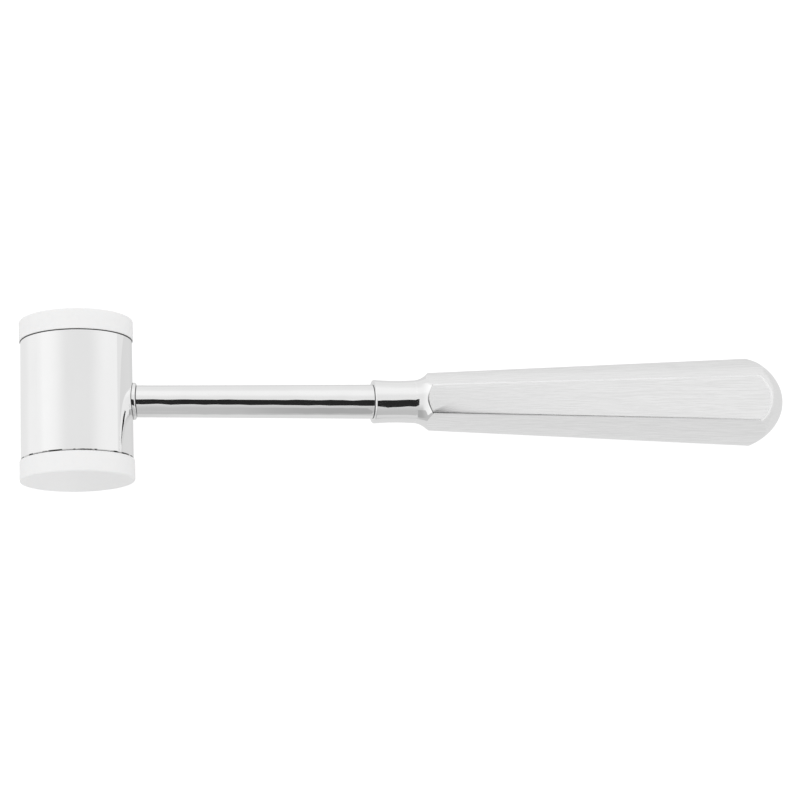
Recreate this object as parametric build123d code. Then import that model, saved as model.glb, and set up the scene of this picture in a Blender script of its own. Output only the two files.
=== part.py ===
from build123d import *
import math
import os

# A surgical mallet: a polished steel head with a screwed-in plastic face at each end, a tapered
# round shaft set in the head's side, and a hollow six-sided handle that grows from a turned neck.
# The tool's own axes: the head's centre is the origin, X runs along the shaft to the handle's
# tip, Y along the head, Z up. All sizes are in millimetres.

# Head
head_diameter = 25.0
head_length = 27.4
head_edge_round = 0.35

# Strike faces and the sockets that they screw into; each face stands out past the head all round
face_overhang = 0.3
face_thickness = 4.7
face_rim_round = 0.45
face_seat_round = 0.2
stud_diameter = 10.4
stud_length = 8.0
stud_chamfer = 0.8
socket_thread_depth = 0.9
socket_end_room = 0.8
socket_mouth_chamfer = 0.5

# Shaft
shaft_root_diameter = 7.2
shaft_neck_diameter = 7.9
root_bead_rise = 0.6
root_bead_width = 0.85
root_bead_round = 0.4
spigot_diameter = 6.0
spigot_depth = 8.0
spigot_end_room = 0.3
tang_diameter = 5.6
tang_length = 15.0
joint_clearance = 0.02

# Handle: turned neck, flare, six flats and rounded end, one after the other along X
neck_start = 67.5
neck_length = 9.3
neck_rim_diameter = 10.1
neck_rim_round = 0.35
neck_waist_reach = 5.1
neck_waist_diameter = 9.6
flare_length = 4.2
flare_start_diameter = 9.85
flare_radius = 5.0
flats_length = 77.0
shoulder_across_corners = 13.6
end_across_corners = 21.0
tip_reach = 8.5
dome_length = 15.2
flat_count = 6
edge_round = 0.5
handle_turn = 6.0
handle_wall = 1.0
cavity_reach = 3.0

# Places along X, from the head's centre, that follow from those lengths
flare_start = neck_start + neck_length
shoulder_place = flare_start + flare_length
end_corner_place = shoulder_place + flats_length
handle_tip = end_corner_place + tip_reach
cavity_start = shoulder_place + cavity_reach

# The flare's arc runs this far past the flats' corners, so that it trims each of them
flare_overrun = 0.8

# Rounds of tipping the tool until its handle touches what it lies on
settling_rounds = 4


def along_y(sketch_depth, radius, start):
    """A cylinder along Y from start, sketch_depth long."""
    return extrude(Plane.XZ.offset(-start) * Circle(radius), -sketch_depth)


def shaft_radius(place):
    """The shaft's radius at a place along X; it tapers evenly from the head to the neck."""
    root = head_diameter / 2
    share = (place - root) / (neck_start - root)
    return (shaft_root_diameter + share * (shaft_neck_diameter - shaft_root_diameter)) / 2


def make_head_body():
    """The steel head: rounded rims, a socket in each end, and the shaft's hole in its side."""
    head = along_y(head_length, head_diameter / 2, -head_length / 2)
    head = fillet(head.edges().filter_by(GeomType.CIRCLE), head_edge_round)

    socket_radius = stud_diameter / 2 + socket_thread_depth
    socket_depth = stud_length + socket_end_room
    for end in (-1, 1):
        mouth = end * head_length / 2
        start = mouth - socket_depth if end > 0 else mouth
        head -= along_y(socket_depth, socket_radius, start)
        cone_profile = Polyline(
            (0, mouth),
            (socket_radius + socket_mouth_chamfer, mouth),
            (socket_radius, mouth - end * socket_mouth_chamfer),
            (0, mouth - end * socket_mouth_chamfer),
            close=True,
        )
        head -= revolve(make_face(cone_profile), Axis.Y)

    hole_bottom = head_diameter / 2 - spigot_depth - spigot_end_room
    hole = Plane.YZ.offset(hole_bottom) * Circle(spigot_diameter / 2 + joint_clearance)
    return head - extrude(hole, head_diameter)


def make_strike_face(end):
    """One plastic face with its stud; end is +1 or -1, the side of the head along Y."""
    radius = head_diameter / 2 + face_overhang
    seat = head_length / 2
    front = seat + face_thickness
    back = seat - stud_length
    outline = Polyline(
        (0, back),
        (stud_diameter / 2 - stud_chamfer, back),
        (stud_diameter / 2, back + stud_chamfer),
        (stud_diameter / 2, seat),
        (radius, seat),
        (radius, front),
        (0, front),
        close=True,
    )
    face = revolve(make_face(outline), Axis.Y)
    rims = face.edges().filter_by(GeomType.CIRCLE).filter_by(lambda edge: edge.radius > radius - 0.01)
    rims = rims.sort_by(Axis.Y)
    face = fillet(rims[0], face_seat_round)
    rims = face.edges().filter_by(GeomType.CIRCLE).filter_by(lambda edge: edge.radius > radius - 0.01)
    face = fillet(rims.sort_by(Axis.Y)[-1], face_rim_round)
    return face if end > 0 else mirror(face, Plane.XZ)


def make_shaft():
    """The tapered shaft, with the weld bead at its root, its spigot in the head and its tang."""
    root = head_diameter / 2
    outline = Polyline(
        (0, 0),
        (0, shaft_radius(0)),
        (neck_start, shaft_radius(neck_start)),
        (neck_start, tang_diameter / 2),
        (neck_start + tang_length, tang_diameter / 2),
        (neck_start + tang_length, 0),
        close=True,
    )
    shaft = revolve(make_face(outline), Axis.X)

    # The bead hugs the head, so its far side follows the head's round form
    bead_start = Plane.YZ * Circle(shaft_radius(root) + root_bead_rise)
    bead = extrude(bead_start, head_diameter) & along_y(2 * head_length, root + root_bead_width, -head_length)
    bead = fillet(bead.edges().sort_by(Axis.X)[-1], root_bead_round)
    shaft = shaft + bead - along_y(2 * head_length, root, -head_length)
    spigot = Plane.YZ.offset(root - spigot_depth) * Circle(spigot_diameter / 2)
    return shaft + extrude(spigot, spigot_depth)


def corner_radius(place):
    """The distance from the handle's axis to the corners of its flats at a place along X."""
    share = (place - shoulder_place) / (end_corner_place - shoulder_place)
    return (shoulder_across_corners + share * (end_across_corners - shoulder_across_corners)) / 2


def flats(start, end, inset, round_radius):
    """The tapered six-sided bar from start to end, its faces moved in by inset."""
    sections = []
    for place in (start, end):
        radius = corner_radius(place) - inset / math.cos(math.pi / flat_count)
        section = RegularPolygon(radius, flat_count, rotation=handle_turn)
        section = fillet(section.vertices(), round_radius)
        sections.append(Plane.YZ.offset(place) * section)
    return loft(sections)


def dome_edge(inset):
    """The quarter ellipse of the handle's end, from its widest point to the tip."""
    centre = handle_tip - dome_length
    reach = (end_corner_place - centre) / dome_length
    half_width = end_across_corners / 2 / math.sqrt(1 - reach**2)
    return EllipticalCenterArc((centre, 0), dome_length - inset, half_width - inset, 0, arc_size=90)


def make_handle():
    """The hollow handle: a turned neck and flare, six flats, a rounded end and its bore."""
    rim = (neck_start, neck_rim_diameter / 2)
    waist = (neck_start + neck_waist_reach, neck_waist_diameter / 2)
    flare = (flare_start, flare_start_diameter / 2)
    waist_arc = ThreePointArc(rim, waist, flare)
    flare_end_radius = shoulder_across_corners / 2 + flare_overrun
    rise = flare_end_radius - flare_start_diameter / 2
    run = math.sqrt(rise * (2 * flare_radius - rise))
    flare_arc = TangentArc(flare, (flare_start + run, flare_end_radius), tangent=(1, 0))
    end_arc = dome_edge(0)
    neck_outline = [
        Line((neck_start, 0), rim),
        waist_arc,
        Line(flare, (flare_start, 0)),
        Line((flare_start, 0), (neck_start, 0)),
    ]
    neck = revolve(make_face(Curve() + neck_outline), Axis.X)
    rim_edge = neck.edges().filter_by(GeomType.CIRCLE).sort_by(Axis.X)[0]
    neck = fillet(rim_edge, neck_rim_round)

    trim_outline = [
        Line((flare_start, 0), flare),
        flare_arc,
        Line(flare_arc @ 1, end_arc @ 1),
        end_arc,
        Line(end_arc @ 0, (flare_start, 0)),
    ]
    trim = revolve(make_face(Curve() + trim_outline), Axis.X)
    grip = flats(flare_start, handle_tip, 0, edge_round) & trim
    handle = neck + grip

    cavity_end = dome_edge(handle_wall)
    mouth = (cavity_start, corner_radius(cavity_start))
    cavity_outline = [
        Line((cavity_start, 0), mouth),
        Line(mouth, cavity_end @ 1),
        cavity_end,
        Line(cavity_end @ 0, (cavity_start, 0)),
    ]
    cavity_trim = revolve(make_face(Curve() + cavity_outline), Axis.X)
    cavity = flats(cavity_start, handle_tip, handle_wall, edge_round) & cavity_trim
    bore = Plane.YZ.offset(neck_start) * Circle(tang_diameter / 2 + joint_clearance)
    return handle - cavity - extrude(bore, cavity_start - neck_start)


def rest_place(handle):
    """Where the tool lies: on both strike faces and on the lowest point of its handle."""
    face_radius = head_diameter / 2 + face_overhang
    tilt = 0
    for _ in range(settling_rounds):
        turned = Rot(0, math.degrees(tilt), 0) * handle
        tilt += (turned.bounding_box().min.Z + face_radius) / end_corner_place
    middle = (handle_tip * math.cos(tilt) - face_radius) / 2
    return Pos(-middle, 0, face_radius) * Rot(0, math.degrees(tilt), 0)


def build():
    """Make every piece in its place at rest and write each to its own file."""
    pieces = {
        "head_body": make_head_body(),
        "strike_face_front": make_strike_face(-1),
        "strike_face_rear": make_strike_face(1),
        "shaft": make_shaft(),
        "handle": make_handle(),
    }
    place = rest_place(pieces["handle"])
    os.makedirs("parts", exist_ok=True)
    for name, solid in pieces.items():
        export_step(place * solid, f"parts/{name}.step")


build()
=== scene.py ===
import logging
import math
from dataclasses import dataclass, field
from enum import Enum
from typing import Optional, Union

import bmesh
import bpy
from mathutils import Matrix, Vector


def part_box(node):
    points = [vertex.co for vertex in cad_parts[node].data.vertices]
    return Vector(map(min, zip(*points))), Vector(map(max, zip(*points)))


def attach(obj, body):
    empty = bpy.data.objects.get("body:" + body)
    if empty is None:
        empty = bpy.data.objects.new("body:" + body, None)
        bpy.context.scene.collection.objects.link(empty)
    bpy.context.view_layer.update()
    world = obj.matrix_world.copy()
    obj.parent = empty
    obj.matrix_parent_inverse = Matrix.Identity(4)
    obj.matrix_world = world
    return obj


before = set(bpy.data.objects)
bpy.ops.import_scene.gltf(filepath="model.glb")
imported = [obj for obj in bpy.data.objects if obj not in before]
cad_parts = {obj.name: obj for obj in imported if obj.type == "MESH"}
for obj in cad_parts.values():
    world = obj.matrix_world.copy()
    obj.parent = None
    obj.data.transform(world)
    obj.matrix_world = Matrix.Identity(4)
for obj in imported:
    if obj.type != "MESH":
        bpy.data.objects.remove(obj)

logging.basicConfig(level=logging.INFO, format="%(message)s")
log = logging.getLogger("mallet")

MM = 0.001

# Vertices across a thread's ridge: one foot, two at the crest, the other foot
RIDGE_COLUMNS = 4

Socket = bpy.types.NodeSocket
Value = Union[Socket, float]


class Piece(str, Enum):
    """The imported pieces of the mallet."""

    HEAD = "head_body"
    FRONT_FACE = "strike_face_front"
    REAR_FACE = "strike_face_rear"
    SHAFT = "shaft"
    HANDLE = "handle"


class Body(str, Enum):
    """The bodies that move apart."""

    MALLET = "mallet"
    FRONT_FACE = "front_face"
    REAR_FACE = "rear_face"


class Slot(str, Enum):
    """The finishes that the record names."""

    POLISHED_STEEL = "polished_steel"
    SATIN_STEEL = "satin_steel"
    WHITE_PLASTIC = "white_plastic"


@dataclass(frozen=True)
class ToolAxes:
    """Where the tool lies: its head's centre and the dip of its shaft.

    Args:
        head_centre: the centre of the head in the frame, in metres.
        dip: the angle by which the shaft falls towards the handle, in radians.
    """

    head_centre: Vector
    dip: float

    @classmethod
    def from_frame(cls) -> "ToolAxes":
        """Reads the head's centre and works the dip out from the shaft's two ends.

        Returns:
            The axes of the tool as it was packed.
        """
        low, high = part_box(Piece.HEAD.value)
        centre = (low + high) / 2
        verts = [v.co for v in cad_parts[Piece.SHAFT.value].data.vertices]
        last = max(v.x for v in verts)
        end_points = [v for v in verts if v.x > last - 0.4 * MM]
        middle = (max(v.z for v in end_points) + min(v.z for v in end_points)) / 2
        return cls(centre, math.atan2(centre.z - middle, last - centre.x))

    def matrix(self) -> Matrix:
        """The move from the tool's own axes to the frame."""
        return Matrix.Translation(self.head_centre) @ Matrix.Rotation(self.dip, 4, "Y")


@dataclass(frozen=True)
class Tree:
    """A short way to write a node tree.

    Args:
        tree: the node tree to fill.
    """

    tree: bpy.types.NodeTree

    def node(self, kind: str, **settings: object) -> bpy.types.Node:
        """Adds a node.

        Args:
            kind: the node's Blender type name.
            **settings: its attributes by name.

        Returns:
            The new node.
        """
        node = self.tree.nodes.new(kind)
        for name, value in settings.items():
            setattr(node, name, value)
        return node

    def join(self, source: Socket, target: Socket) -> None:
        """Links an output socket to an input socket."""
        self.tree.links.new(source, target)

    def feed(self, value: object, target: Socket) -> None:
        """Gives an input socket its value.

        Args:
            value: a socket to link, or a number or a colour.
            target: the input socket.
        """
        if isinstance(value, Socket):
            self.join(value, target)
        else:
            target.default_value = value

    def math(
        self, operation: str, first: Value, second: Optional[Value] = None, clamp: bool = False
    ) -> Socket:
        """Adds a Math node.

        Args:
            operation: the operation's name.
            first: a socket or a number.
            second: a socket, a number or None.
            clamp: whether the result stays between 0 and 1.

        Returns:
            The node's output socket.
        """
        node = self.node("ShaderNodeMath", operation=operation, use_clamp=clamp)
        for index, value in enumerate((first, second)):
            if value is not None:
                self.feed(value, node.inputs[index])
        return node.outputs[0]

    def ramp(self, value: Socket, start: float, end: float, before: float, after: float) -> Socket:
        """Maps a socket from start..end to before..after with smooth ends.

        Args:
            value: the socket to map.
            start: where the change begins.
            end: where the change ends.
            before: the result up to start.
            after: the result from end on.

        Returns:
            The node's output socket.
        """
        node = self.node("ShaderNodeMapRange", interpolation_type="SMOOTHSTEP")
        for index, number in enumerate((start, end, before, after), start=1):
            node.inputs[index].default_value = number
        self.join(value, node.inputs[0])
        return node.outputs[0]

    def blend(self, share: Socket, first: Value, second: Value) -> Socket:
        """Mixes two levels, of which share is how much of the second there is."""
        kept = self.math("MULTIPLY", first, self.math("SUBTRACT", 1, share))
        return self.math("ADD", kept, self.math("MULTIPLY", share, second))

    def mixed_colour(self, share: Socket, first: object, second: object) -> Socket:
        """Mixes two colours.

        Args:
            share: how much of the second colour there is.
            first: a socket or a colour.
            second: a socket or a colour.

        Returns:
            The mixed colour's socket.
        """
        node = self.node("ShaderNodeMix", data_type="RGBA")
        self.join(share, node.inputs["Factor"])
        self.feed(first, node.inputs["A"])
        self.feed(second, node.inputs["B"])
        return node.outputs["Result"]

    def noise(self, vector: Socket, scale: float, layers: float, stretch: tuple = ()) -> Socket:
        """Adds a noise.

        Args:
            vector: the place that it is read at.
            scale: how fine it is.
            layers: how many finer layers lie on it.
            stretch: the place's own scale along X, Y and Z, if it has one.

        Returns:
            The noise's socket, about 0.5 on average.
        """
        if stretch:
            stretched = self.node("ShaderNodeMapping")
            stretched.inputs["Scale"].default_value = stretch
            self.join(vector, stretched.inputs["Vector"])
            vector = stretched.outputs["Vector"]
        node = self.node("ShaderNodeTexNoise")
        node.inputs["Scale"].default_value = scale
        node.inputs["Detail"].default_value = layers
        self.join(vector, node.inputs["Vector"])
        return node.outputs["Fac"]

    def chain(self, *nodes: bpy.types.Node) -> None:
        """Passes the geometry on from each node to the next."""
        for first, second in zip(nodes, nodes[1:]):
            self.join(first.outputs[0], second.inputs[0])

    def surface(self, share: Socket, first: bpy.types.Node, second: bpy.types.Node) -> None:
        """Makes the material's surface of two shaders.

        Args:
            share: how much of the second shader there is.
            first: a shader's node.
            second: a shader's node.
        """
        choice = self.node("ShaderNodeMixShader")
        for source, target in zip((share, first.outputs[0], second.outputs[0]), choice.inputs):
            self.join(source, target)
        self.join(choice.outputs[0], self.tree.nodes["Material Output"].inputs["Surface"])


@dataclass(frozen=True)
class Change:
    """A level that changes smoothly with place and stays even before and after.

    Args:
        start: where the change begins.
        end: where the change ends.
        before: the level up to start.
        after: the level from end on.
    """

    start: float
    end: float
    before: float
    after: float

    def over(self, tree: Tree, value: Socket) -> Socket:
        """Adds the level to a tree, by the value that it changes with."""
        return tree.ramp(value, self.start, self.end, self.before, self.after)


@dataclass(frozen=True)
class Place:
    """Where a shaded point lies.

    Args:
        vector: the socket of its three coordinates together.
        x: the socket of its X; on the tool's own axes that is along the shaft.
        y: the socket of its Y; there that is along the head.
        z: the socket of its Z.
    """

    vector: Socket
    x: Socket
    y: Socket
    z: Socket

    @classmethod
    def split(cls, tree: Tree, vector: Socket) -> "Place":
        """Splits a vector.

        Args:
            tree: the tree to add to.
            vector: the vector's socket.

        Returns:
            The place, whole and in parts.
        """
        parts = tree.node("ShaderNodeSeparateXYZ")
        tree.join(vector, parts.inputs[0])
        return cls(vector, *(parts.outputs[axis] for axis in ("X", "Y", "Z")))

    @classmethod
    def on_tool(cls, tree: Tree, axes: ToolAxes) -> "Place":
        """Adds the place on the tool's own axes.

        Args:
            tree: the material's tree.
            axes: where the tool lies.

        Returns:
            The place, in metres from the head's centre.
        """
        coordinates = tree.node("ShaderNodeTexCoord")
        turned = tree.node("ShaderNodeMapping", vector_type="TEXTURE")
        turned.inputs["Location"].default_value = axes.head_centre
        turned.inputs["Rotation"].default_value = (0, axes.dip, 0)
        tree.join(coordinates.outputs["Object"], turned.inputs["Vector"])
        return cls.split(tree, turned.outputs["Vector"])

    def from_head_axis(self, tree: Tree) -> Socket:
        """Adds the distance from the head's axis, for a place on the tool's own axes."""
        squares = [tree.math("POWER", part, 2) for part in (self.x, self.z)]
        return tree.math("SQRT", tree.math("ADD", *squares))


class Measure(Enum):
    """What a painted shade line is placed by, on the tool's own axes."""

    ALONG_HEAD = "place along the head's axis, from its middle"
    FROM_HEAD_AXIS = "distance from the head's axis"
    ALONG_SHAFT = "distance from the head's axis along the shaft"
    OVER_FLAT = "height over the plane of the handle's upper flat"


@dataclass(frozen=True)
class UpperFlat:
    """The plane of the handle's upper flat, on the tool's own axes.

    Args:
        facing: the direction that it faces, in degrees from the rear towards the top.
        slope: how much it rises along the shaft.
        start: its height over the shaft's axis where the head's axis crosses.
    """

    facing: float = 96.0
    slope: float = 0.0416
    start: float = 2.519 * MM

    def height(self, tree: Tree, place: Place) -> Socket:
        """Adds the height over the plane to a material.

        Args:
            tree: the material's tree.
            place: the place on the tool's own axes.

        Returns:
            The height's socket, in metres.
        """
        facing = math.radians(self.facing)
        across = tree.math("MULTIPLY", place.y, math.cos(facing))
        upwards = tree.math("MULTIPLY", place.z, math.sin(facing))
        along = tree.math("MULTIPLY", place.x, -self.slope)
        total = tree.math("ADD", tree.math("ADD", across, upwards), along)
        return tree.math("SUBTRACT", total, self.start)


@dataclass(frozen=True)
class PaintedShadeLine:
    """A thin line of painted shade where two pieces or two faces meet.

    Args:
        measure: what it is placed by.
        low: where it starts, in metres.
        high: where it ends, in metres.
        depth: how dark it is, from 0 to 1.
        broken: whether it comes and goes.
        outer: the distance from the head's axis up to which a line along the head is dark.
        inner: the distance from the head's axis from which it is dark.
        rearwards: how a line over the upper flat fades from the front to the rear.
        softness: half the width of its soft edges.
        break_scale: the scale of the noise that breaks it.
        breaks: the share of the line that the noise leaves.
    """

    measure: Measure
    low: float
    high: float
    depth: float = 0.9
    broken: bool = False
    outer: float = 20 * MM
    inner: Change = Change(12.1 * MM, 12.2 * MM, 0, 1)
    rearwards: Change = Change(-1.5 * MM, 1.5 * MM, 1, 0.3)
    softness: float = 0.03 * MM
    break_scale: float = 420.0
    breaks: Change = Change(0.46, 0.54, 0.2, 1)

    def measured(self, tree: Tree, place: Place) -> Socket:
        """Adds what the line is placed by.

        Args:
            tree: the material's tree.
            place: the place on the tool's own axes.

        Returns:
            The measure's socket, in metres.
        """
        if self.measure is Measure.ALONG_HEAD:
            return place.y
        if self.measure is Measure.ALONG_SHAFT:
            return place.x
        if self.measure is Measure.FROM_HEAD_AXIS:
            return place.from_head_axis(tree)
        return UpperFlat().height(tree, place)

    def mask(self, tree: Tree, place: Place) -> Socket:
        """Adds the painted shade line to a material.

        Args:
            tree: the material's tree.
            place: the place on the tool's own axes.

        Returns:
            A socket that is the line's depth inside the line and 0 outside it.
        """
        soft = self.softness
        measured = self.measured(tree, place)
        begun = tree.ramp(measured, self.low - soft, self.low + soft, 0, self.depth)
        not_ended = tree.ramp(measured, self.high - soft, self.high + soft, 1, 0)
        line = tree.math("MULTIPLY", begun, not_ended)
        if self.measure is Measure.ALONG_HEAD:
            distance = place.from_head_axis(tree)
            on_rim = self.inner.over(tree, distance)
            within = tree.ramp(distance, self.outer - soft, self.outer + soft, 1, 0)
            line = tree.math("MULTIPLY", line, tree.math("MULTIPLY", on_rim, within))
        if self.measure is Measure.OVER_FLAT:
            line = tree.math("MULTIPLY", line, self.rearwards.over(tree, place.y))
        if self.broken:
            noise = tree.noise(place.vector, self.break_scale, 2)
            line = tree.math("MULTIPLY", line, self.breaks.over(tree, noise))
        return line


@dataclass(frozen=True)
class Finish:
    """What every finish has.

    Args:
        name: the material's name.
        colour: its linear colour.
        roughness: its mean roughness.
        roughness_play: how far the roughness wanders either way.
        metallic: 1 for metal, 0 for plastic.
        specular: the specular level at normal view.
        bump: the height of its surface detail, in metres.
        painted_shade_lines: the painted shade along its piece's joints and creases.
        painted_shade_colour: the colour of that painted shade.
        low_tone: the colour's share in the lowest marks.
        tone_heights: the heights of the detail between which the colour changes.
        rough_heights: the heights of the detail between which the roughness changes.
    """

    name: str
    colour: tuple
    roughness: float
    roughness_play: float
    metallic: float
    specular: float
    bump: float
    painted_shade_lines: tuple = ()
    painted_shade_colour: tuple = (0.02, 0.02, 0.02)
    low_tone: float = 0.985
    tone_heights: tuple = (0.35, 0.65)
    rough_heights: tuple = (0.25, 0.75)

    def detail(self, tree: Tree, place: Place) -> Socket:
        """Adds the surface detail as a height between 0 and 1; each finish has its own."""
        raise NotImplementedError

    def shade(self, tree: Tree, shader: bpy.types.Node) -> None:
        """Adds what one finish has beyond the others; nothing by default."""

    def roughen(self, tree: Tree, place: Place, roughness: Socket) -> Socket:
        """Changes the roughness by place; not at all by default."""
        return roughness

    def material(self, axes: ToolAxes) -> bpy.types.Material:
        """Builds the material on the tool's own axes, so that grain follows the shaft.

        Args:
            axes: where the tool lies.

        Returns:
            The node-based material.
        """
        made = bpy.data.materials.new(self.name)
        made.use_nodes = True
        tree = Tree(made.node_tree)
        shader = made.node_tree.nodes["Principled BSDF"]
        shader.inputs["Metallic"].default_value = self.metallic
        shader.inputs["Specular IOR Level"].default_value = self.specular
        place = Place.on_tool(tree, axes)
        height = self.detail(tree, place)

        marks = (*(self.low_tone * part for part in self.colour), 1)
        share = tree.ramp(height, *self.tone_heights, 0, 1)
        colour = tree.mixed_colour(share, marks, (*self.colour, 1))
        # Painted shade: each line darkens the colour along a seam or crease
        for line in self.painted_shade_lines:
            mask = line.mask(tree, place)
            colour = tree.mixed_colour(mask, colour, (*self.painted_shade_colour, 1))
        tree.join(colour, shader.inputs["Base Color"])

        low, high = self.roughness - self.roughness_play, self.roughness + self.roughness_play
        roughness = tree.ramp(height, *self.rough_heights, low, high)
        tree.join(self.roughen(tree, place, roughness), shader.inputs["Roughness"])
        bump = tree.node("ShaderNodeBump")
        bump.inputs["Strength"].default_value = 1
        bump.inputs["Distance"].default_value = self.bump
        tree.join(height, bump.inputs["Height"])
        tree.join(bump.outputs["Normal"], shader.inputs["Normal"])
        self.shade(tree, shader)
        return made


@dataclass(frozen=True)
class PolishedSteel(Finish):
    """Mirror-polished stainless steel with faint buffing marks.

    Args:
        mark_scale: how fine the marks are.
        mark_stretch: their scale along the shaft, along the head and upwards.
    """

    colour: tuple = (0.93, 0.93, 0.93)
    roughness: float = 0.05
    roughness_play: float = 0.02
    metallic: float = 1
    specular: float = 0.5
    bump: float = 0.4e-6
    mark_scale: float = 160.0
    mark_stretch: tuple = (1.0, 0.35, 1.0)

    def detail(self, tree: Tree, place: Place) -> Socket:
        """Adds soft, slightly stretched buffing marks."""
        return tree.noise(place.vector, self.mark_scale, 3, self.mark_stretch)


@dataclass(frozen=True)
class BrushedSteel(Finish):
    """Stainless steel brushed along the shaft's direction.

    Args:
        lines_across: how fine the scratches are across the shaft.
        lines_along: how fine they are along it.
        anisotropy: how far the highlights stretch across the scratches.
        edge_roughness: the roughness of the upper flat's rounded edges.
        edge_foot: the share of that roughness as the edge falls away from the flat.
        edge_top: the same where the edge meets the flat.
    """

    colour: tuple = (0.99, 0.99, 0.99)
    roughness: float = 0.13
    roughness_play: float = 0.03
    metallic: float = 1
    specular: float = 0.5
    bump: float = 1.0e-6
    low_tone: float = 0.91
    lines_across: float = 8500.0
    lines_along: float = 11.0
    anisotropy: float = 0.3
    edge_roughness: float = 0.5
    edge_foot: Change = Change(-0.3 * MM, -0.25 * MM, 0, 1)
    edge_top: Change = Change(-0.03 * MM, -0.01 * MM, 1, 0)

    def detail(self, tree: Tree, place: Place) -> Socket:
        """Adds long fine scratches with a few broader streaks among them.

        Args:
            tree: the material's tree.
            place: the place on the tool's own axes.

        Returns:
            The socket of a height between 0 and 1.
        """
        heights = []
        for scale in (1.0, 0.4):
            across = self.lines_across * scale
            heights.append(tree.noise(place.vector, 1, 2, (self.lines_along, across, across)))
        return tree.math("MULTIPLY", tree.math("ADD", *heights), 0.5)

    def roughen(self, tree: Tree, place: Place, roughness: Socket) -> Socket:
        """Makes the rounded edges of the upper flat rougher than the flats.

        Args:
            tree: the material's tree.
            place: the place on the tool's own axes.
            roughness: the roughness of the flats.

        Returns:
            The roughness everywhere.
        """
        height = UpperFlat().height(tree, place)
        ends = (self.edge_top.over(tree, height), self.edge_foot.over(tree, height))
        edge = tree.math("MULTIPLY", *ends)
        added = tree.math("MULTIPLY", edge, self.edge_roughness - self.roughness)
        return tree.math("ADD", roughness, added)

    def shade(self, tree: Tree, shader: bpy.types.Node) -> None:
        """Stretches the highlights across the scratches.

        Args:
            tree: the material's tree.
            shader: its main shader.
        """
        shader.inputs["Anisotropic"].default_value = self.anisotropy
        along = tree.node("ShaderNodeCombineXYZ")
        along.inputs["X"].default_value = 1
        tree.join(along.outputs[0], shader.inputs["Tangent"])


@dataclass(frozen=True)
class TurnedPlastic(Finish):
    """Smooth white engineering plastic with the faintest turning marks.

    Args:
        ring_pitch: the distance between the turning marks, in metres.
        ring_depth: their share in the surface detail.
        grain_scale: how fine the noise among them is.
        inner_light: how much of the light goes into the plastic.
        light_reach: how far that light spreads, in metres.
        light_spread: how far each of its colours spreads, as a share of that.
    """

    colour: tuple = (0.93, 0.93, 0.93)
    roughness: float = 0.38
    roughness_play: float = 0.05
    metallic: float = 0
    specular: float = 0.4
    bump: float = 1.5e-6
    ring_pitch: float = 0.25 * MM
    ring_depth: float = 0.12
    grain_scale: float = 900.0
    inner_light: float = 0.15
    light_reach: float = 0.6 * MM
    light_spread: tuple = (1, 0.95, 0.9)

    def detail(self, tree: Tree, place: Place) -> Socket:
        """Adds turning marks about the head's axis, broken up by noise.

        Args:
            tree: the material's tree.
            place: the place on the tool's own axes.

        Returns:
            The socket of a height between 0 and 1.
        """
        turns = tree.math("MULTIPLY", place.from_head_axis(tree), 2 * math.pi / self.ring_pitch)
        rings = tree.math("MULTIPLY", tree.math("SINE", turns), self.ring_depth)
        grain = tree.noise(place.vector, self.grain_scale, 3)
        return tree.math("ADD", grain, rings, clamp=True)

    def shade(self, tree: Tree, shader: bpy.types.Node) -> None:
        """Lets a little light into the plastic.

        Args:
            tree: the material's tree.
            shader: its main shader.
        """
        shader.inputs["Subsurface Weight"].default_value = self.inner_light
        shader.inputs["Subsurface Radius"].default_value = self.light_spread
        shader.inputs["Subsurface Scale"].default_value = self.light_reach


@dataclass(frozen=True)
class Finishes:
    """The finishes, as materials.

    Args:
        head: the polished steel of the head.
        shaft: the polished steel of the shaft.
        neck: the polished steel of the handle's neck and flare.
        brushed: the handle's flats and rounded end.
        plastic: the strike faces.
    """

    head: bpy.types.Material
    shaft: bpy.types.Material
    neck: bpy.types.Material
    brushed: bpy.types.Material
    plastic: bpy.types.Material

    @classmethod
    def make(cls, axes: ToolAxes) -> "Finishes":
        """Builds every material.

        Args:
            axes: where the tool lies.

        Returns:
            The finishes.
        """
        # Painted shade along the head's rims, the strike faces' seats, the shaft's weld and neck
        # joints, and where the handle's upper flat meets the flare
        rims = (
            PaintedShadeLine(Measure.ALONG_HEAD, 13.65 * MM, 14.0 * MM, 0.75),
            PaintedShadeLine(Measure.ALONG_HEAD, -14.0 * MM, -13.32 * MM, 0.95, broken=True),
        )
        seat = (PaintedShadeLine(Measure.ALONG_HEAD, -13.8 * MM, 13.8 * MM, outer=12.6 * MM),)
        joints = (
            PaintedShadeLine(Measure.FROM_HEAD_AXIS, 12.41 * MM, 12.59 * MM),
            PaintedShadeLine(Measure.FROM_HEAD_AXIS, 13.28 * MM, 13.42 * MM),
            PaintedShadeLine(Measure.ALONG_SHAFT, 67.38 * MM, 68.0 * MM),
        )
        shoulder = (PaintedShadeLine(Measure.OVER_FLAT, -0.16 * MM, 0.1 * MM, broken=True),)
        made = (
            PolishedSteel("head_steel", painted_shade_lines=rims),
            PolishedSteel("shaft_steel", painted_shade_lines=joints),
            PolishedSteel("neck_steel", painted_shade_lines=shoulder),
            BrushedSteel("brushed_steel"),
            TurnedPlastic("white_plastic", painted_shade_lines=seat),
        )
        return cls(*(finish.material(axes) for finish in made))


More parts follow.
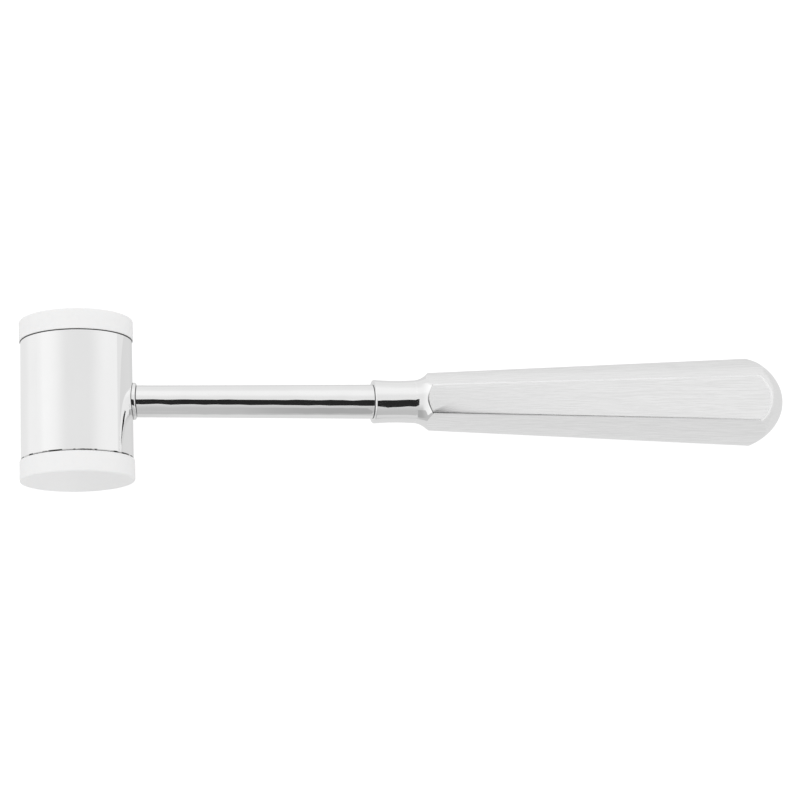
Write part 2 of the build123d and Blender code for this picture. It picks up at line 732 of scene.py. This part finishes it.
def smooth_packed(node: bpy.types.Object, crease: float = 32.0) -> None:
    """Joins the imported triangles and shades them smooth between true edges, as modifiers only.

    Args:
        node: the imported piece's object.
        crease: the angle in degrees above which an edge stays sharp.
    """
    weld = node.modifiers.new("join_triangles", "WELD")
    weld.merge_threshold = 0.001 * MM
    group = smooth_by_angle_group()
    smooth = node.modifiers.new("smooth_by_angle", "NODES")
    smooth.node_group = group
    for item in group.interface.items_tree:
        if item.item_type == "SOCKET" and item.in_out == "INPUT" and item.name == "Angle":
            smooth[item.identifier] = math.radians(crease)
    evened = node.modifiers.new("even_normals", "WEIGHTED_NORMAL")
    evened.mode = "FACE_AREA"
    evened.weight = 80
    evened.keep_sharp = True


def smooth_by_angle_group() -> bpy.types.NodeTree:
    """The tree that shades smooth and keeps edges above an angle sharp, built once.

    Returns:
        The geometry node tree, with the angle as a named input.
    """
    name = "smooth_between_edges"
    if name in bpy.data.node_groups:
        return bpy.data.node_groups[name]
    group = bpy.data.node_groups.new(name, "GeometryNodeTree")
    group.interface.new_socket("Geometry", in_out="INPUT", socket_type="NodeSocketGeometry")
    group.interface.new_socket("Angle", in_out="INPUT", socket_type="NodeSocketFloat")
    group.interface.new_socket("Geometry", in_out="OUTPUT", socket_type="NodeSocketGeometry")
    tree = Tree(group)
    start = tree.node("NodeGroupInput")
    end = tree.node("NodeGroupOutput")
    faces = tree.node("GeometryNodeSetShadeSmooth", domain="FACE")
    faces.inputs["Shade Smooth"].default_value = True
    angle = tree.node("GeometryNodeInputMeshEdgeAngle")
    sharp = tree.node("FunctionNodeCompare", data_type="FLOAT", operation="LESS_THAN")
    edges = tree.node("GeometryNodeSetShadeSmooth", domain="EDGE")
    tree.chain(start, faces, edges, end)
    tree.join(angle.outputs["Unsigned Angle"], sharp.inputs["A"])
    tree.join(start.outputs["Angle"], sharp.inputs["B"])
    tree.join(sharp.outputs["Result"], edges.inputs["Shade Smooth"])
    return group


def wear(node: bpy.types.Object, *materials: bpy.types.Material) -> None:
    """Replaces a piece's materials.

    Args:
        node: the piece.
        *materials: its new materials, in slot order.
    """
    node.data.materials.clear()
    for material in materials:
        node.data.materials.append(material)
    for polygon in node.data.polygons:
        polygon.material_index = 0


@dataclass
class Thread:
    """A helical ridge about the head's axis, on a stud or in a socket.

    Args:
        name: the new piece's name.
        root_radius: the radius of the cylinder that carries the ridge, in metres.
        crest_radius: the radius of the ridge's top; below root_radius for a socket.
        length: how far the ridge runs along the head.
        side: +1 towards the rear face, -1 towards the front one.
        phase: how far the ridge is turned, as a share of a full turn.
        end: where it ends along the head, in metres from the head's centre.
        pitch: how far it climbs in a turn.
        foot_width: its width at the foot.
        crest_width: its width at the top.
        steps_per_turn: how many flat pieces make a turn.
    """

    name: str
    root_radius: float
    crest_radius: float
    length: float
    side: int
    phase: float
    end: float = 12.6 * MM
    pitch: float = 1.75 * MM
    foot_width: float = 1.25 * MM
    crest_width: float = 0.22 * MM
    steps_per_turn: int = 48

    def tree(self, material: bpy.types.Material) -> bpy.types.NodeTree:
        """Builds the geometry node tree that winds the ridge.

        Args:
            material: the ridge's finish.

        Returns:
            The tree, with named inputs for its sizes.
        """
        group = bpy.data.node_groups.new(f"{self.name}_winding", "GeometryNodeTree")
        sizes = {
            "Root Radius": self.root_radius,
            "Crest Radius": self.crest_radius,
            "Pitch": self.pitch,
            "Turns": self.length / self.pitch,
            "Foot Width": self.foot_width,
            "Crest Width": self.crest_width,
            "Phase": self.phase,
        }
        number = "NodeSocketFloat"
        for label, size in sizes.items():
            socket = group.interface.new_socket(label, in_out="INPUT", socket_type=number)
            socket.default_value = size
        group.interface.new_socket("Geometry", in_out="OUTPUT", socket_type="NodeSocketGeometry")
        tree = Tree(group)
        start = tree.node("NodeGroupInput")
        end = tree.node("NodeGroupOutput")

        grid = tree.node("GeometryNodeMeshGrid")
        grid.inputs["Size X"].default_value = 1
        grid.inputs["Size Y"].default_value = 1
        steps = int(self.length / self.pitch * self.steps_per_turn)
        grid.inputs["Vertices X"].default_value = steps + 1
        grid.inputs["Vertices Y"].default_value = RIDGE_COLUMNS
        settle = tree.node("GeometryNodeSetPosition")
        tree.join(self.wound(tree, start.outputs), settle.inputs["Position"])
        real = tree.node("GeometryNodeRealizeInstances")
        dressed = tree.node("GeometryNodeSetMaterial")
        dressed.inputs["Material"].default_value = material
        tree.chain(grid, settle, real, dressed, end)
        return group

    @staticmethod
    def wound(tree: Tree, value: bpy.types.NodeOutputs) -> Socket:
        """Adds the place on the ridge of each point of a flat grid, one wide and one long.

        Args:
            tree: the geometry node tree.
            value: the sizes' sockets, by name.

        Returns:
            The place's socket, with the ridge about Y from its start on.
        """
        grid_place = Place.split(tree, tree.node("GeometryNodeInputPosition").outputs[0])
        along = tree.math("ADD", grid_place.x, 0.5)
        across = tree.math("MULTIPLY", grid_place.y, 2)
        turn = tree.math("MULTIPLY", along, value["Turns"])
        on_crest = tree.math("LESS_THAN", tree.math("ABSOLUTE", across), 0.5)

        # The ridge grows from nothing over its first half turn and dies away over its last
        rise = tree.math("SUBTRACT", value["Crest Radius"], value["Root Radius"])
        to_nearer_end = tree.math("MULTIPLY", tree.math("PINGPONG", along, 0.5), 2)
        twice_turns = tree.math("MULTIPLY", value["Turns"], 2)
        grown = tree.math("MULTIPLY", to_nearer_end, twice_turns, clamp=True)
        risen = tree.math("MULTIPLY", tree.math("MULTIPLY", on_crest, rise), grown)
        radius = tree.math("ADD", value["Root Radius"], risen)

        difference = tree.math("SUBTRACT", value["Crest Width"], value["Foot Width"])
        narrowing = tree.math("MULTIPLY", on_crest, difference)
        width = tree.math("ADD", value["Foot Width"], narrowing)
        signed_width = tree.math("MULTIPLY", tree.math("SIGN", across), width)
        offset = tree.math("MULTIPLY", signed_width, 0.5)
        forward = tree.math("ADD", tree.math("MULTIPLY", turn, value["Pitch"]), offset)
        angle = tree.math("MULTIPLY", tree.math("ADD", turn, value["Phase"]), 2 * math.pi)
        place = tree.node("ShaderNodeCombineXYZ")
        tree.join(tree.math("MULTIPLY", radius, tree.math("COSINE", angle)), place.inputs["X"])
        tree.join(forward, place.inputs["Y"])
        tree.join(tree.math("MULTIPLY", radius, tree.math("SINE", angle)), place.inputs["Z"])
        return place.outputs[0]

    def build(self, axes: ToolAxes, material: bpy.types.Material) -> bpy.types.Object:
        """Winds the ridge and turns it into a closed plain mesh in its place.

        Args:
            axes: where the tool lies.
            material: the ridge's finish.

        Returns:
            The new piece.
        """
        holder = bpy.data.objects.new(self.name, bpy.data.meshes.new(self.name))
        bpy.context.scene.collection.objects.link(holder)
        winding = holder.modifiers.new("winding", "NODES")
        winding.node_group = self.tree(material)
        evaluated = holder.evaluated_get(bpy.context.evaluated_depsgraph_get())
        mesh = bpy.data.meshes.new_from_object(evaluated)
        holder.modifiers.clear()
        holder.data = mesh
        close_strip(mesh)
        seat = Matrix.Translation((0, self.side * (self.end - self.length), 0))
        facing = Matrix.Identity(4) if self.side > 0 else Matrix.Rotation(math.pi, 4, "Z")
        mesh.transform(axes.matrix() @ seat @ facing)
        face_outwards(mesh)
        for polygon in mesh.polygons:
            polygon.use_smooth = False
        return holder


def close_strip(mesh: bpy.types.Mesh) -> None:
    """Closes the open foot and ends of a wound ridge, so that it is a solid.

    Args:
        mesh: the wound strip, whose vertices lie in rows across it.
    """
    work = bmesh.new()
    work.from_mesh(mesh)
    work.verts.ensure_lookup_table()
    starts = range(0, len(work.verts), RIDGE_COLUMNS)
    rows = [[work.verts[start + column] for column in range(RIDGE_COLUMNS)] for start in starts]
    for first, second in zip(rows, rows[1:]):
        work.faces.new((first[0], first[-1], second[-1], second[0]))
    work.faces.new(rows[0])
    work.faces.new(rows[-1][::-1])
    work.to_mesh(mesh)
    work.free()


def face_outwards(mesh: bpy.types.Mesh) -> None:
    """Turns every face of a closed mesh outwards.

    Args:
        mesh: the mesh.
    """
    work = bmesh.new()
    work.from_mesh(mesh)
    bmesh.ops.recalc_face_normals(work, faces=work.faces)
    work.to_mesh(mesh)
    work.free()


@dataclass
class Head:
    """The steel head with the threads in its two sockets.

    Args:
        thread_outer_radius: the radius of the sockets, in metres.
        thread_inner_radius: the radius of the thread's ridges.
        thread_length: how far each runs.
        thread_phase: how far they are turned, as a share of a full turn.
    """

    thread_outer_radius: float = 6.1 * MM
    thread_inner_radius: float = 5.35 * MM
    thread_length: float = 7.0 * MM
    thread_phase: float = 0.5

    def dress(self, axes: ToolAxes, finishes: Finishes) -> None:
        """Polishes the head and cuts its threads, which carry none of the head's painted shade.

        Args:
            axes: where the tool lies.
            finishes: the materials.
        """
        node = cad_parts[Piece.HEAD.value]
        wear(node, finishes.head)
        smooth_packed(node)
        for side, label in ((-1, "front"), (1, "rear")):
            thread = Thread(
                name=f"{label}_socket_thread",
                root_radius=self.thread_outer_radius,
                crest_radius=self.thread_inner_radius,
                length=self.thread_length,
                side=side,
                phase=self.thread_phase,
            )
            piece = thread.build(axes, finishes.shaft)
            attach(piece, Body.MALLET.value)
            log.info("head: %s, %d faces", piece.name, len(piece.data.polygons))


@dataclass
class StrikeFace:
    """One white strike face with the thread on its stud.

    Args:
        piece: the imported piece.
        body: the body that it moves as.
        side: +1 for the rear face, -1 for the front one.
        stud_radius: the radius of the stud, in metres.
        thread_radius: the radius of the thread's ridge.
        thread_length: how far it runs.
        thread_phase: how far it is turned, as a share of a full turn.
    """

    piece: Piece
    body: Body
    side: int
    stud_radius: float = 5.2 * MM
    thread_radius: float = 5.95 * MM
    thread_length: float = 6.0 * MM
    thread_phase: float = 0.0

    def dress(self, axes: ToolAxes, finishes: Finishes) -> None:
        """Gives the face its plastic and its thread.

        Args:
            axes: where the tool lies.
            finishes: the materials.
        """
        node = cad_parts[self.piece.value]
        wear(node, finishes.plastic)
        smooth_packed(node)
        thread = Thread(
            name=f"{self.body.value}_stud_thread",
            root_radius=self.stud_radius,
            crest_radius=self.thread_radius,
            length=self.thread_length,
            side=self.side,
            phase=self.thread_phase,
        )
        piece = thread.build(axes, finishes.plastic)
        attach(piece, self.body.value)
        log.info("%s: %s, %d faces", self.body.value, piece.name, len(piece.data.polygons))


@dataclass
class Shaft:
    """The polished shaft."""

    def dress(self, finishes: Finishes) -> None:
        """Polishes the shaft.

        Args:
            finishes: the materials.
        """
        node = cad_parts[Piece.SHAFT.value]
        wear(node, finishes.shaft)
        smooth_packed(node)
        log.info("shaft: %d packed faces", len(node.data.polygons))


@dataclass
class Handle:
    """The handle: a polished neck and flare, and brushed flats and end.

    Args:
        neck_end: how far along the shaft every face is polished, in metres from the head.
        flare_end: how far along the shaft the turned flare can reach.
        flat_tilt: the largest slope along the shaft that a brushed face can have there.
        crease: the angle in degrees above which an edge stays sharp.
    """

    neck_end: float = 77.0 * MM
    flare_end: float = 82.5 * MM
    flat_tilt: float = 0.12
    crease: float = 24.0

    def dress(self, axes: ToolAxes, finishes: Finishes) -> None:
        """Brushes the flats and polishes the neck, face by face.

        Args:
            axes: where the tool lies.
            finishes: the materials.
        """
        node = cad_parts[Piece.HANDLE.value]
        wear(node, finishes.brushed, finishes.neck)
        to_tool = axes.matrix().inverted()
        turn = to_tool.to_3x3()
        polished = 0
        for polygon in node.data.polygons:
            along = (to_tool @ polygon.center).x
            slope = abs((turn @ polygon.normal).x)
            on_flare = along < self.flare_end and slope > self.flat_tilt
            if along < self.neck_end or on_flare:
                polygon.material_index = 1
                polished += 1
        smooth_packed(node, self.crease)
        log.info("handle: %d polished faces of %d", polished, len(node.data.polygons))


def flat_piece(name: str, outline: tuple) -> bpy.types.Object:
    """Adds a flat piece with a material that lights nothing by itself.

    Args:
        name: the piece's and the material's name.
        outline: its four corners.

    Returns:
        The new piece.
    """
    mesh = bpy.data.meshes.new(name)
    mesh.from_pydata(outline, [], [(0, 1, 2, 3)])
    piece = bpy.data.objects.new(name, mesh)
    bpy.context.scene.collection.objects.link(piece)
    material = bpy.data.materials.new(name)
    material.use_nodes = True
    material.cycles.emission_sampling = "NONE"
    mesh.materials.append(material)
    return piece


@dataclass(frozen=True)
class MirroredFloor:
    """The floor as the steel mirrors it: glowing levels with the mallet's shadow painted in,
    dimmer beside the mallet than far away.

    Args:
        beside: the floor's level by the shaft and the handle, along the shaft.
        left: its level to the left of the head, along the shaft.
        to_left: the share of that level, along the shaft.
        rear_edge: how far behind the head's middle the level behind begins, in metres.
        rear_slope: how far that edge turns away from the shaft.
        beyond_edge: the share of the level behind, across that edge.
        behind: the level behind the edge.
        to_front: the share of the level in front, along the head.
        front: the level in front, along the shaft.
    """

    beside: Change = Change(13 * MM, 30 * MM, 0.67, 0.74)
    left: Change = Change(-60 * MM, -14 * MM, 0.93, 0.84)
    to_left: Change = Change(-5 * MM, 5 * MM, 1, 0)
    rear_edge: float = 22.8 * MM
    rear_slope: float = 4 / 65
    beyond_edge: Change = Change(-0.3 * MM, 0.3 * MM, 0, 1)
    behind: float = 0.83
    to_front: Change = Change(-32 * MM, -26 * MM, 1, 0)
    front: Change = Change(68 * MM, 86 * MM, 0.55, 0.72)

    def level(self, tree: Tree, axes: ToolAxes) -> Socket:
        """Adds the level to the floor's material.

        Args:
            tree: the floor's tree.
            axes: where the tool lies.

        Returns:
            The level's socket.
        """
        place = Place.split(tree, tree.node("ShaderNodeTexCoord").outputs["Object"])
        x = tree.math("SUBTRACT", place.x, axes.head_centre.x)
        to_left = self.to_left.over(tree, x)
        level = tree.blend(to_left, self.beside.over(tree, x), self.left.over(tree, x))
        edge = tree.math("ADD", tree.math("MULTIPLY", x, self.rear_slope), self.rear_edge)
        beyond_edge = self.beyond_edge.over(tree, tree.math("SUBTRACT", place.y, edge))
        to_behind = tree.math("MULTIPLY", beyond_edge, tree.math("SUBTRACT", 1, to_left))
        level = tree.blend(to_behind, level, self.behind)
        return tree.blend(self.to_front.over(tree, place.y), level, self.front.over(tree, x))


@dataclass(frozen=True)
class Surround:
    """The light all round, by direction: X and Y run from -1 to 1 about the mallet.

    Args:
        sky: the light's level overhead.
        seen: its level as the camera sees it.
        by_x: what is added from left to right.
        by_y: what is added from front to rear.
        front: what is added in front, for the steel only.
        front_width: the share of that from the middle to the sides.
    """

    sky: float = 0.83
    seen: float = 1.0
    by_x: tuple = (
        Change(-0.95, -0.3, 0.17, 0),
        Change(-1.0, -0.93, -0.08, 0),
        Change(0.35, 0.9, 0, 0.11),
    )
    by_y: tuple = (Change(0.27, 0.66, 0, 0.12), Change(0.87, 0.99, 0, -0.10))
    front: Change = Change(-0.95, -0.3, -0.29, 0)
    front_width: Change = Change(0.35, 0.6, 1, 0)

    def build(self) -> None:
        """Paints the light all round: brighter to both sides, dimmer in front."""
        world = bpy.data.worlds.new("studio")
        bpy.context.scene.world = world
        world.use_nodes = True
        tree = Tree(world.node_tree)
        background = world.node_tree.nodes["Background"]
        place = Place.split(tree, tree.node("ShaderNodeTexCoord").outputs["Generated"])
        rays = tree.node("ShaderNodeLightPath")
        middle = self.front_width.over(tree, tree.math("ABSOLUTE", place.x))
        mirrored = tree.math("MULTIPLY", middle, rays.outputs["Is Glossy Ray"])
        changes = [change.over(tree, place.x) for change in self.by_x]
        changes += [change.over(tree, place.y) for change in self.by_y]
        changes.append(tree.math("MULTIPLY", self.front.over(tree, place.y), mirrored))
        level = self.sky
        for change in changes:
            level = tree.math("ADD", change, level)

        shown = tree.node("ShaderNodeMix", data_type="FLOAT")
        tree.join(rays.outputs["Is Camera Ray"], shown.inputs["Factor"])
        tree.join(level, shown.inputs["A"])
        shown.inputs["B"].default_value = self.seen
        tree.join(shown.outputs["Result"], background.inputs["Strength"])
        background.inputs["Color"].default_value = (1, 1, 1, 1)


@dataclass(frozen=True)
class Card:
    """A card that shows on one side, and in reflections only.

    Args:
        name: the card's name.
        outline: its corners from the head's centre, in metres, anticlockwise as it shows.
        level: its brightness along the shaft.
    """

    name: str
    outline: tuple
    level: Change = Change(36 * MM, 66 * MM, 0.02, 0.02)

    def build(self, axes: ToolAxes) -> None:
        """Hangs the card.

        Args:
            axes: where the tool lies.
        """
        card = flat_piece(self.name, self.outline)
        card.data.transform(axes.matrix())
        card.visible_camera = False
        card.visible_diffuse = False
        card.visible_shadow = False
        card.visible_transmission = False
        tree = Tree(card.active_material.node_tree)
        place = Place.split(tree, tree.node("ShaderNodeTexCoord").outputs["Object"])
        x = tree.math("SUBTRACT", place.x, axes.head_centre.x)
        glow = tree.node("ShaderNodeEmission")
        tree.join(self.level.over(tree, x), glow.inputs["Strength"])
        from_behind = tree.node("ShaderNodeNewGeometry").outputs["Backfacing"]
        tree.surface(from_behind, glow, tree.node("ShaderNodeBsdfTransparent"))


# The first card hangs overhead, the second stands in front of the handle, and the third stands
# in front of the shaft and gets darker towards the neck
CARDS = (
    Card(
        "overhead_card",
        ((0.02, 0.03, 0.5), (0.275, -0.07, 0.5), (0.275, -0.5, 0.5), (0.02, -0.29, 0.5)),
    ),
    Card(
        "upright_card",
        (
            (0.085, -0.0105, 0.007),
            (0.2, -0.077, 0.017),
            (0.2, -0.077, 0.083),
            (0.085, -0.0105, 0.036),
        ),
    ),
    Card(
        "shaded_card",
        ((0.077, -0.06, -0.012), (0.03, -0.06, -0.012), (0.03, -0.06, 0.04), (0.077, -0.06, 0.04)),
        Change(36 * MM, 66 * MM, 0.54, 0.42),
    ),
)


@dataclass(frozen=True)
class Studio:
    """A plain pale floor, soft light all round, one soft lamp and the cards.

    Args:
        floor_size: the floor's side, in metres.
        floor_colour: the floor's linear grey.
        floor_lift: light added to the floor for the camera only.
        floor_bounce: the floor's level as it lights matt surfaces.
        mirrored_floor: the floor as the steel mirrors it, with the mallet's shadow painted in.
        surround: the light all round.
        lamp_power: the soft lamp's power, in watts.
        lamp_size: the soft lamp's side, in metres.
        lamp_place: where it hangs, in metres.
        cards: the cards that the steel mirrors.
    """

    floor_size: float = 6.0
    floor_colour: float = 0.35
    floor_lift: float = 0.80
    floor_bounce: float = 0.8
    mirrored_floor: MirroredFloor = MirroredFloor()
    surround: Surround = Surround()
    lamp_power: float = 0.6
    lamp_size: float = 0.9
    lamp_place: tuple = (-0.15, 0.45, 0.7)
    cards: tuple = CARDS

    def build(self, axes: ToolAxes) -> None:
        """Makes the floor, the surrounding light, the lamp and the cards.

        Args:
            axes: where the tool lies.
        """
        self.floor(axes)
        self.surround.build()
        self.lamp()
        for card in self.cards:
            card.build(axes)

    def floor(self, axes: ToolAxes) -> None:
        """Lays the floor that the mallet rests on.

        Args:
            axes: where the tool lies.
        """
        half = self.floor_size / 2
        outline = ((-half, -half, 0), (half, -half, 0), (half, half, 0), (-half, half, 0))
        floor = flat_piece("floor", outline)
        tree = Tree(floor.active_material.node_tree)
        shader = tree.tree.nodes["Principled BSDF"]
        shader.inputs["Base Color"].default_value = (self.floor_colour,) * 3 + (1,)
        shader.inputs["Roughness"].default_value = 1
        shader.inputs["Specular IOR Level"].default_value = 0
        rays = tree.node("ShaderNodeLightPath").outputs
        seen = tree.math("MAXIMUM", rays["Is Camera Ray"], rays["Is Transmission Ray"])
        shader.inputs["Emission Color"].default_value = (1, 1, 1, 1)
        lift = tree.math("MULTIPLY", seen, self.floor_lift)
        tree.join(lift, shader.inputs["Emission Strength"])

        # For glossy rays the floor glows with painted levels, the mallet's shadow painted in; for
        # diffuse rays it glows evenly
        mirrored = tree.node("ShaderNodeEmission")
        glossy, bounced = rays["Is Glossy Ray"], rays["Is Diffuse Ray"]
        level = tree.blend(glossy, self.floor_bounce, self.mirrored_floor.level(tree, axes))
        tree.join(level, mirrored.inputs["Strength"])
        tree.surface(tree.math("MAXIMUM", glossy, bounced), shader, mirrored)

    def lamp(self) -> None:
        """Hangs one large soft lamp behind the mallet, which the steel doesn't mirror."""
        light = bpy.data.lights.new("soft_lamp", "AREA")
        light.energy = self.lamp_power
        light.size = self.lamp_size
        lamp = bpy.data.objects.new("soft_lamp", light)
        lamp.location = self.lamp_place
        lamp.rotation_euler = (-Vector(self.lamp_place)).to_track_quat("-Z", "Y").to_euler()
        lamp.visible_glossy = False
        bpy.context.scene.collection.objects.link(lamp)


@dataclass(frozen=True)
class PhotoCamera:
    """The camera of the photo, placed from the head's centre.

    Args:
        place: its place from the head's centre, in metres.
        lean: the angle of its line of sight from straight down, towards the back, in degrees.
        swing: the angle towards the handle, in degrees.
        roll: its turn about its line of sight, in degrees.
        focal_pixels: its focal length in pixels of the photo.
        image_width: the photo's width in pixels.
        sensor_width: the width of its sensor, in millimetres.
    """

    place: tuple = (-18.16 * MM, -113.92 * MM, 506.84 * MM)
    lean: float = 12.675
    swing: float = 10.032
    roll: float = -2.422
    focal_pixels: float = 2291.1
    image_width: int = 800
    sensor_width: float = 36.0

    def build(self, axes: ToolAxes) -> None:
        """Makes the scene's camera.

        Args:
            axes: where the tool lies.
        """
        lean, swing, roll = (math.radians(a) for a in (self.lean, self.swing, self.roll))
        share = math.cos(swing)
        sight = Vector((math.sin(swing), math.sin(lean) * share, -math.cos(lean) * share))
        sight.normalize()
        level = sight.cross(Vector((0, 1, 0))).normalized()
        upright = level.cross(sight)
        right = level * math.cos(roll) + upright * math.sin(roll)
        up = upright * math.cos(roll) - level * math.sin(roll)
        data = bpy.data.cameras.new("photo_camera")
        data.sensor_width = self.sensor_width
        data.lens = self.focal_pixels / self.image_width * self.sensor_width
        camera = bpy.data.objects.new("photo_camera", data)
        turn = Matrix((right, up, -sight)).transposed().to_4x4()
        camera.matrix_world = Matrix.Translation(axes.head_centre + Vector(self.place)) @ turn
        bpy.context.scene.collection.objects.link(camera)
        bpy.context.scene.camera = camera


@dataclass
class Mallet:
    """The whole mallet: its sub-assemblies in the order in which they are dressed.

    Args:
        head: the head.
        shaft: the shaft.
        handle: the handle.
    """

    head: Head = field(default_factory=Head)
    shaft: Shaft = field(default_factory=Shaft)
    handle: Handle = field(default_factory=Handle)

    def dress(self, axes: ToolAxes) -> None:
        """Dresses every piece.

        Args:
            axes: where the tool lies.
        """
        finishes = Finishes.make(axes)
        self.head.dress(axes, finishes)
        StrikeFace(Piece.FRONT_FACE, Body.FRONT_FACE, -1).dress(axes, finishes)
        StrikeFace(Piece.REAR_FACE, Body.REAR_FACE, 1).dress(axes, finishes)
        self.shaft.dress(finishes)
        self.handle.dress(axes, finishes)


def main() -> None:
    """Dresses the mallet, lights it and places the camera."""
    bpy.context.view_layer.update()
    axes = ToolAxes.from_frame()
    log.info("shaft dips %.3f degrees", math.degrees(axes.dip))
    Mallet().dress(axes)
    Studio().build(axes)
    PhotoCamera().build(axes)
    scene = bpy.context.scene
    scene.view_settings.view_transform = "Standard"


if __name__ == "__main__":
    main()
